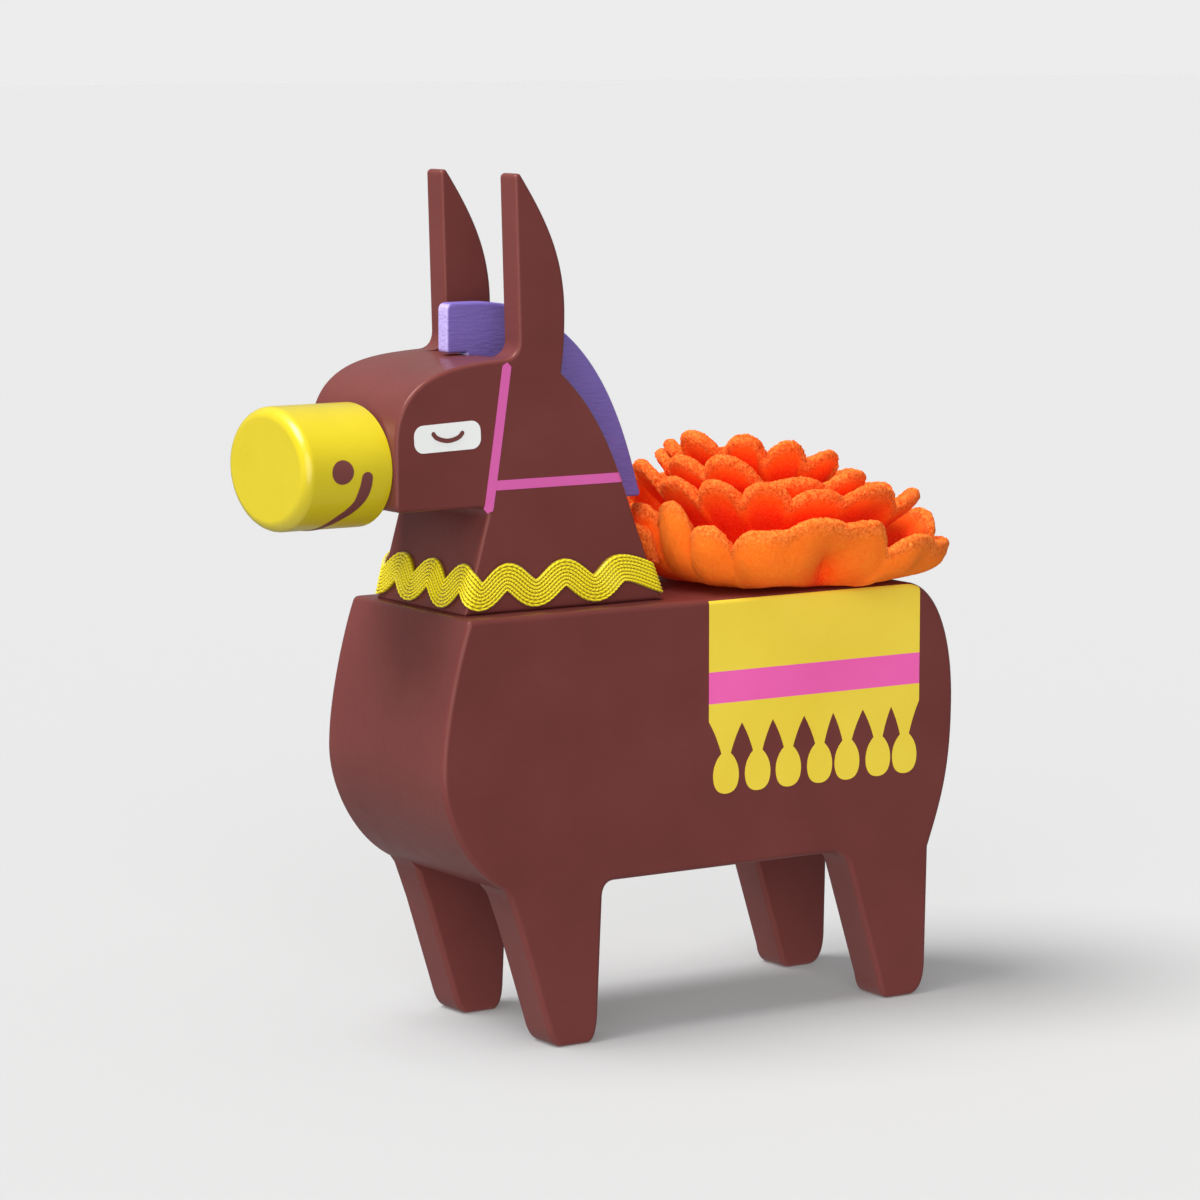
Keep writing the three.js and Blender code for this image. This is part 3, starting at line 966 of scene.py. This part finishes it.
def braid_profile(share, beat):
    """Along one lane of the braid, how thick it is and how far each place is raised, which sets its
    painted light and shade, from 0 in the gaps to 1 on top of the stitches. share is -1 at one
    edge and 1 at the other."""
    lane = (share + 1) / 2 * BRAID["ribs"]
    number = int(min(lane, BRAID["ribs"] - 1e-6))
    across = 2 * (lane - number) - 1
    rib = 1 - abs(across) ** BRAID["rib_roundness"]
    lean = BRAID["stitch_lean"] if number % 2 else -BRAID["stitch_lean"]
    knot = 0.5 + 0.5 * np.cos(2 * math.pi * (beat + lean * across))
    height = BRAID["thickness"] - BRAID["rib_depth"] * (1 - rib) + BRAID["stitch_depth"] * knot * rib
    past = max(0, abs(share) - BRAID["edge_from"]) / (1 - BRAID["edge_from"])
    # Painted shade: darker in the gaps between ribs and stitches, lighter on their tops.
    raised = rib * (BRAID["shade"] + (1 - BRAID["shade"]) * knot)
    return height * (1 - past * BRAID["edge_drop"]), raised


def make_collar(yellow_yarn):
    _, flat_x, flat_y, corner = neck_section(BRAID["middle"], 0.0)
    perimeter = 4 * (flat_x + math.pi / 2 * corner + flat_y)
    turn = np.linspace(0, 1, BRAID_STEPS, endpoint=False)
    wave = np.cos(2 * math.pi * np.interp(turn, *braid_phase()))
    line = np.stack([turn * perimeter, BRAID["middle"] + BRAID["swing"] * wave], 1)
    wrap = np.array([perimeter, 0])
    ahead = np.vstack([line[1:], line[:1] + wrap])
    behind = np.vstack([line[-1:] - wrap, line[:-1]])
    slope = unit(ahead - behind)
    up = np.stack([-slope[:, 1], slope[:, 0]], 1)
    distance = travelled(line)
    beat = distance / distance[-1] * round(distance[-1] / BRAID["stitch"])
    lanes = []
    for share in np.linspace(-1, 1, STEPS_PER_RIB * BRAID["ribs"] + 1):
        lanes.append((share * BRAID["half_width"], *braid_profile(share, beat)))
    flat = np.full(BRAID_STEPS, BRAID["underside"])
    for side in (1, -1):
        lanes.append((side * (BRAID["half_width"] - BRAID["edge_inset"]), flat, 0 * flat))
    rows = []
    for offset, height, _ in lanes:
        spot = line + up * offset
        rows.append(neck_loop(spot[:, 0] / perimeter, spot[:, 1], height))
    braid = build(
        "ricrac_braid", np.concatenate(rows), grid(len(rows), BRAID_STEPS, True, True),
        yellow_yarn, "yellow_braid", ("ricrac_collar",), sharp=75,
    )
    # The braid's painted light and shade, read by the yarn's colour.
    mark(braid, "raised", np.concatenate([raised for _, _, raised in lanes]))


# ---- felt flower ----
# Each row is a strip of thick felt, gathered at its foot, whose rim rises into rounded petals and
# dips into folds. A petal is the angle of its tip in degrees (0 towards +X, 90 towards the rump),
# the tip's distance from the row's own axis, its height, and how deep the fold after it dips.
PETALS_A = [
    (-174, 41, 121.5, 6), (-152, 40.6, 129.5, 3.5), (-130, 41.5, 127.5, 3.5), (-108, 41, 128, 3.5),
    (-88, 40.6, 125, 4), (-72, 41.2, 126.6, 6), (-58.5, 42, 121, 5), (-41, 42.4, 120.2, 1.2),
    (-20, 43, 123.4, 1.0), (-3, 42.4, 122.2, 5.5), (18, 42.4, 117.4, 1.2), (46, 42, 114.4, 3.5),
    (80, 40.5, 119, 6), (117, 40.8, 118, 6), (153, 41, 118.5, 6),
]
PETALS_B = [
    (-132, 32.5, 131.5, 2.5), (-108, 33, 134, 5), (-80, 32.4, 131.2, 5), (-59, 33, 131.2, 5),
    (-37, 33.5, 131.2, 4), (-15, 33.4, 129.2, 2.5), (10, 34.2, 129.4, 4), (54, 35.4, 126, 5),
    (91, 33.6, 125.5, 5), (127, 32.5, 126, 5), (163, 32, 127, 5), (198, 32, 128, 5),
]
PETALS_C = [
    (-122, 24.4, 136, 5), (-87, 24.8, 135.8, 4), (-55, 25.3, 136.8, 5), (-13, 24.4, 131, 2.5),
    (24, 26.2, 132, 4.5), (80, 25.2, 130, 5), (126, 24.8, 131, 5), (170, 24.8, 131.5, 5),
    (208, 24.8, 133, 5),
]
PETALS_D = [
    (-126, 21, 138.4, 5), (-84, 20.4, 141.6, 5.5), (-42, 19.2, 141.4, 5), (-12, 20.2, 139.8, 4),
    (24, 20.6, 137, 5), (72, 19.6, 133.5, 5), (121, 19.3, 133.5, 5), (170, 19.3, 134.5, 5),
    (204, 19, 136, 4),
]
PETALS_E = [(-125, 11, 136.5, 3.5), (-40, 10.5, 136.5, 3.5), (50, 10, 134.5, 3.5), (140, 10, 134, 3.5)]
# Each row: its petals, the axis of the rim, the foot's radius and height, how far out and up the
# wall starts off, how far in and down from the rim it flares, and whether its outer face is
# painted pale as lit, with painted shade.
ROWS = {
    "petal_strip_outer": (PETALS_A, 51.5, 21.5, 0.2, (0.75, 0.0), (3.4, 6.5), True),
    "petal_strip_second": (PETALS_B, 50.0, 18.0, 1.8, (0.1, 0.5), (4.4, 4.2), False),
    "petal_strip_third": (PETALS_C, 47.0, 11.5, 2.6, (0.1, 0.55), (4.2, 4.0), False),
    "petal_strip_inner": (PETALS_D, 45.5, 6.8, 4.0, (0.1, 0.6), (4.0, 3.8), False),
    "centre_bud": (PETALS_E, 45.0, 2.6, 6.0, (0.05, 0.6), (2.6, 4.0), False),
}
# How broad the petals are, how far in a fold goes for its depth, and how far a petal bulges.
PETAL_ROUNDNESS = 2.4
FOLD_IN = 0.65
PETAL_PUFF = 3.0
# The outer strip turns up further out on the neck side (how far, and the angle), its wall is
# tucked in between its ridges (each an angle, a half width in degrees and a depth), and its cut
# end laps over its start.
WIDER = (4.5, -85)
TUCKS = [(-13, 10, 9.5), (-50, 6, 1.5), (30, 8, 2.0), (95, 10, 4.0), (140, 10, 4.0)]
LAP = {"start": -82, "end": -112, "low": 0.4, "high": 0.78, "gap": 3.3}
COLUMNS = 900
WALL_RINGS = 30
RIM_STEPS = 13
CLIMB_POWER = 0.8
CAP_ANGLES = (25, 50, 70, 84)
# The felt's dents and fluff: how fine, how deep on the walls, and how much deeper on the rim.
FLUFF = [(0.13, 0.5, 0.0), (0.8, 0.1, 0.14), (2.3, 0.06, 0.26)]
# How pale the felt is painted, from 0 to 1, as painted light and shade: painted shade deep
# inside the flower, lighter on the walls from half way up, and the outer face painted pale as
# lit, with painted shade on its shaded side, at its foot and in the fold beside the front petal.
INSIDE_SHADE_TONE, INSIDE_LIGHT_RISE = 0.1, 0.5
OUTER_LIT_TONE, SHADE_DROP, FOOT_SHADE_DROP, FOLD_SHADE_DROP = 0.95, 0.75, 0.55, 0.3
SHADE_START, SHADE_SPAN, SHADE_END = -76, 16, -160
FOLD_ANGLE, FOLD_SPREAD = -13, 6
RIM_FROM = 0.88


def rim_values(petals, turn):
    """The rim's distance from the row's axis, its height and how near it is to the middle of its
    petal, from 0 to 1, at angles in degrees."""
    out, height, middle = (np.empty_like(turn) for _ in range(3))
    for i, (angle, radius, top, fold) in enumerate(petals):
        for other, dip in ((petals[i - 1], petals[i - 1][3]), (petals[(i + 1) % len(petals)], fold)):
            gap = (other[0] - angle + 180) % 360 - 180
            along = ((turn - angle + 180) % 360 - 180) / gap * 2
            here = (along >= 0) & (along <= 1)
            share = along[here] ** PETAL_ROUNDNESS
            fold_out = (radius + other[1]) / 2 - FOLD_IN * dip
            fold_top = (top + other[2]) / 2 - dip
            out[here] = radius + share * (fold_out - radius)
            height[here] = top + share * (fold_top - top)
            middle[here] = (1 - along[here] ** 2) ** 2
    return out, height, middle


def evenly(curve, count):
    """A closed curve's points, as count points evenly spaced along it."""
    loop = np.vstack([curve, curve[:1]])
    run = travelled(loop)
    places = np.linspace(0, run[-1], count, endpoint=False)
    return np.stack([np.interp(places, run, loop[:, k]) for k in range(3)], 1)


def blurred(values, reach):
    """Values round a closed loop, each averaged with its neighbours up to reach away."""
    weights = np.hanning(2 * reach + 3)[1:-1]
    weights /= weights.sum()
    return sum(w * np.roll(values, shift, 0) for w, shift in zip(weights, range(-reach, reach + 1)))


def rays(angle):
    """Level unit vectors at angles in radians."""
    return np.stack([np.cos(angle), np.sin(angle), np.zeros(len(angle))], 1)


def felt_wall(petals, axis_y, foot, foot_up, start, flare):
    """The middle surface of a gathered strip: rings of points from the foot to the rim."""
    turn = np.linspace(-180, 180, 4 * COLUMNS, endpoint=False)
    out, height, _ = rim_values(petals, turn)
    curve = out[:, None] * rays(np.radians(turn))
    curve += np.stack([0 * turn, np.full(len(turn), axis_y), height - FELT / 2], 1)
    top = blurred(evenly(blurred(curve, 10), COLUMNS), 3)
    angle = np.unwrap(np.arctan2(top[:, 1] - axis_y, top[:, 0]))
    even = np.linspace(0, 2 * math.pi, COLUMNS, endpoint=False)
    angle = even + blurred(angle - even, 25)
    ray = rays(angle)
    outer = petals is PETALS_A
    wider = outer * WIDER[0] * np.cos(angle - math.radians(WIDER[1]))[:, None]
    low = np.array([0, FLOWER_Y, FLOWER_Z + foot_up + FELT / 2]) + foot * ray
    rise = (top - low)[:, 2:] * [0, 0, 1]
    reach = (top - low) * [1, 1, 0]
    first = low + start[0] * reach + start[1] * rise + wider * ray
    puff = PETAL_PUFF * rim_values(petals, np.degrees(angle))[2][:, None]
    second = top - ray * (flare[0] - puff - wider / 3) - np.array([0, 0, flare[1]])
    tuck = np.zeros((COLUMNS, 1))
    for centre, half, depth in TUCKS if outer else ():
        off = (np.degrees(angle) - centre + 180) % 360 - 180
        tuck += depth * np.exp(-((off / half) ** 2))[:, None]
    rings = []
    for share in np.linspace(0, 1, WALL_RINGS) ** CLIMB_POWER:
        left = 1 - share
        ring = left**3 * low + 3 * share * left**2 * first
        ring += 3 * share**2 * left * second + share**3 * top
        rings.append(ring - tuck * ray * math.sin(math.pi * share) ** 1.5)
    return np.array(rings)


def capped(middle, half):
    """Adds columns at the two ends of an open strip, so that its cut ends come out rounded. Gives
    the longer strip and each column's half thickness."""
    turns = np.radians(CAP_ANGLES)
    first, last = middle[:, 0], middle[:, -1]
    back, on = unit(first - middle[:, 1]), unit(last - middle[:, -2])
    before = [first + back * half * math.sin(turn) for turn in turns[::-1]]
    after = [last + on * half * math.sin(turn) for turn in turns]
    columns = [*before, *middle.transpose(1, 0, 2), *after]
    ends = half * np.cos(turns)
    halves = np.concatenate([ends[::-1], np.full(middle.shape[1], half), ends])
    return np.array(columns).transpose(1, 0, 2), halves


def thicken(middle, half, closed=True):
    """Felt round a middle surface, half thick to each side, with a rounded rim. Returns the points,
    the faces, how far up the wall each point is, and 1 on the outer face down to 0 inside."""
    rings, around, _ = middle.shape
    along = np.gradient(middle, axis=0)
    if closed:
        sideward = np.roll(middle, -2, 1) - np.roll(middle, 2, 1)
    else:
        sideward = np.gradient(middle, axis=1)
    normal = unit(np.cross(sideward, along))
    along = unit(along)
    half = np.broadcast_to(half, around)[:, None]
    layers = [middle[i] + normal[i] * half for i in range(rings)]
    for turn in np.linspace(math.pi / 2, -math.pi / 2, RIM_STEPS)[1:-1]:
        rounded = normal[-1] * math.sin(turn) + along[-1] * math.cos(turn)
        layers.append(middle[-1] + rounded * half)
    layers += [middle[i] - normal[i] * half for i in range(rings - 1, -1, -1)]
    climb = list(np.linspace(0, 1, rings) ** CLIMB_POWER)
    heights = climb + [1.05] * (RIM_STEPS - 2) + climb[::-1]
    outward = [1.0] * rings + list(np.linspace(1, 0, RIM_STEPS)[1:-1]) + [0.0] * rings
    faces = grid(len(layers), around, True, closed)
    if not closed:
        faces.append(tuple(i * around for i in range(len(layers))))
        faces.append(tuple(i * around + around - 1 for i in reversed(range(len(layers)))))
    return np.concatenate(layers), faces, np.repeat(heights, around), np.repeat(outward, around)


def lapped_end(wall):
    """The cut end of the outer strip, lying against the outside of the wall."""
    angle = np.degrees(np.arctan2(wall[0, :, 1] - FLOWER_Y, wall[0, :, 0]))
    columns = np.flatnonzero((angle < LAP["start"]) & (angle > LAP["end"]))
    part = wall[round(WALL_RINGS * LAP["low"]) : round(WALL_RINGS * LAP["high"]), columns[::-1]]
    out = unit((part - [0, FLOWER_Y, 0]) * [1, 1, 0])
    return capped((part + out * LAP["gap"])[:, ::-1], FELT / 2)


def wander(points, scale, seed):
    """Smooth noise from -1 to 1 at each point."""
    shift = Vector((seed * 13.7, seed * 5.1, seed * 9.3))
    return np.array([noise.noise(Vector(p) * scale + shift) for p in points])


def roughen(piece, rim, seed):
    """Makes the felt uneven: soft dents, and matted fluff that is longest on the rim."""
    mesh = piece.data
    count = len(mesh.vertices)
    places = np.empty(count * 3)
    mesh.vertices.foreach_get("co", places)
    normals = np.empty(count * 3)
    mesh.vertex_normals.foreach_get("vector", normals)
    places, normals = places.reshape(-1, 3), normals.reshape(-1, 3)
    push = np.zeros(count)
    for layer, (scale, depth, more) in enumerate(FLUFF):
        push += wander(places / MM, scale, seed + 10 * layer) * (depth + more * rim)
    mesh.vertices.foreach_set("co", (places + normals * push[:, None] * MM).ravel())
    mesh.update()


def mark(piece, name, values):
    """Stores one number per point for the material to read."""
    attribute = piece.data.attributes.new(name, "FLOAT", "POINT")
    attribute.data.foreach_set("value", np.clip(values, 0, 1))


def felt_piece(name, nodes, middle, orange, seed, pale, half=FELT / 2, closed=True):
    points, faces, height, outward = thicken(middle, half, closed)
    piece = build(name, points, faces, orange, "orange_felt", nodes, sharp=180)
    rim = np.clip((height - RIM_FROM) / (1 - RIM_FROM), 0, 1)
    # Painted shade and light: deep red low inside the flower, paler up the walls; on the outer face,
    # pale as lit, with painted shade on its shaded side, at its foot and in the fold.
    painted_shade_tone = INSIDE_SHADE_TONE + INSIDE_LIGHT_RISE * np.clip((height - 0.5) / 0.4, 0, 1)
    if pale:
        turn = np.degrees(np.arctan2(points[:, 1] - FLOWER_Y, points[:, 0]))
        shaded = np.clip((SHADE_START - turn) / SHADE_SPAN, 0, 1) * (turn > SHADE_END)
        foot = np.clip(1 - height / 0.55, 0, 1)
        fold = np.exp(-(((turn - FOLD_ANGLE) / FOLD_SPREAD) ** 2))
        fold = fold * np.clip((0.8 - height) / 0.25, 0, 1)
        outer = OUTER_LIT_TONE - SHADE_DROP * shaded - FOOT_SHADE_DROP * foot - FOLD_SHADE_DROP * fold
        painted_shade_tone = painted_shade_tone + outward * (outer - painted_shade_tone)
    mark(piece, "painted_shade_tone", painted_shade_tone)
    mark(piece, "rim", rim if closed else np.ones_like(rim))
    roughen(piece, rim, seed)
    return piece


def make_base(orange):
    """The round felt patch that the flower is glued on."""
    ray = rays(np.linspace(0, 2 * math.pi, COLUMNS, endpoint=False))
    half = (BASE_HIGH[2] - BASE_LOW[2]) / 2
    centre = np.array([0, FLOWER_Y, BASE_LOW[2] + half])
    radii = np.linspace(2, BASE_HIGH[0] - half, WALL_RINGS)
    patch = np.array([centre + ray * radius for radius in radii])
    return felt_piece("felt_base_patch", ("felt_base",), patch[:, ::-1], orange, 30, False, half)


def make_flower(orange):
    base = make_base(orange)
    for seed, (node, row) in enumerate(ROWS.items()):
        *shape, pale = row
        wall = felt_wall(*shape)
        piece = felt_piece(node + "_felt", (node,), wall, orange, seed, pale)
        if pale:
            end, half = lapped_end(wall)
            lap = felt_piece("petal_strip_end_felt", (node,), end, orange, 20, True, half, False)


# ---- assembly ----
bpy.context.scene.view_settings.view_transform = "Standard"
make_camera()
make_world()
make_sun("key_light", (-0.10, -0.45, 0.89), 4.3, 38)
make_sun("fill_light", (0.80, -0.58, 0.22), 2.15, 60)
make_sun("bounce_light", (0.10, -0.65, -0.75), 0.6, 120)
make_floor()

brown_paint = paint("brown_paint", (103, 50, 48), (111, 56, 53), 0.34, 0.00012, warm=True)
mark_brown = paint("mark_brown", (104, 52, 49), (112, 58, 54), 0.42, 0.00008)
yellow_gloss = paint(
    "yellow_gloss", (200, 180, 18), (207, 188, 24), 0.3, 0.00004, (400, 60, 400), coat=0.3
)
blanket_yellow = paint("blanket_yellow", (232, 204, 58), (238, 212, 68), 0.42, 0.00006)
blanket_pink = paint("blanket_pink", (232, 92, 170), (240, 100, 178), 0.45, 0.00006)
halter_pink = paint("halter_pink", (206, 88, 160), (214, 96, 168), 0.45, 0.00006)
eye_white = paint("eye_white", (230, 232, 230), (238, 240, 238), 0.45, 0.00006)
# The mane's paler front edge: partly paler paint, partly painted light from the front.
lavender_lit_front = (182, 166, 226)
purple_paint = paint(
    "purple_paint", (108, 90, 168), (124, 106, 182), 0.5, 0.0008, (900, 240, 1300), front=lavender_lit_front
)
bare_birch = birch("bare_birch")
yellow_yarn = rayon("yellow_yarn")
orange_felt = felt("orange_felt")

for name in ("muzzle_dowel", "neck_dowel_front", "neck_dowel_rear"):
    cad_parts[name].data.materials.clear()
    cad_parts[name].data.materials.append(bare_birch)

make_body(brown_paint)
make_head(brown_paint)
make_mane(purple_paint)
make_muzzle(yellow_gloss)
make_blanket(blanket_yellow, blanket_pink)
make_halter(halter_pink)
make_eyes(eye_white, mark_brown)
make_mouth(mark_brown)
make_collar(yellow_yarn)
make_flower(orange_felt)
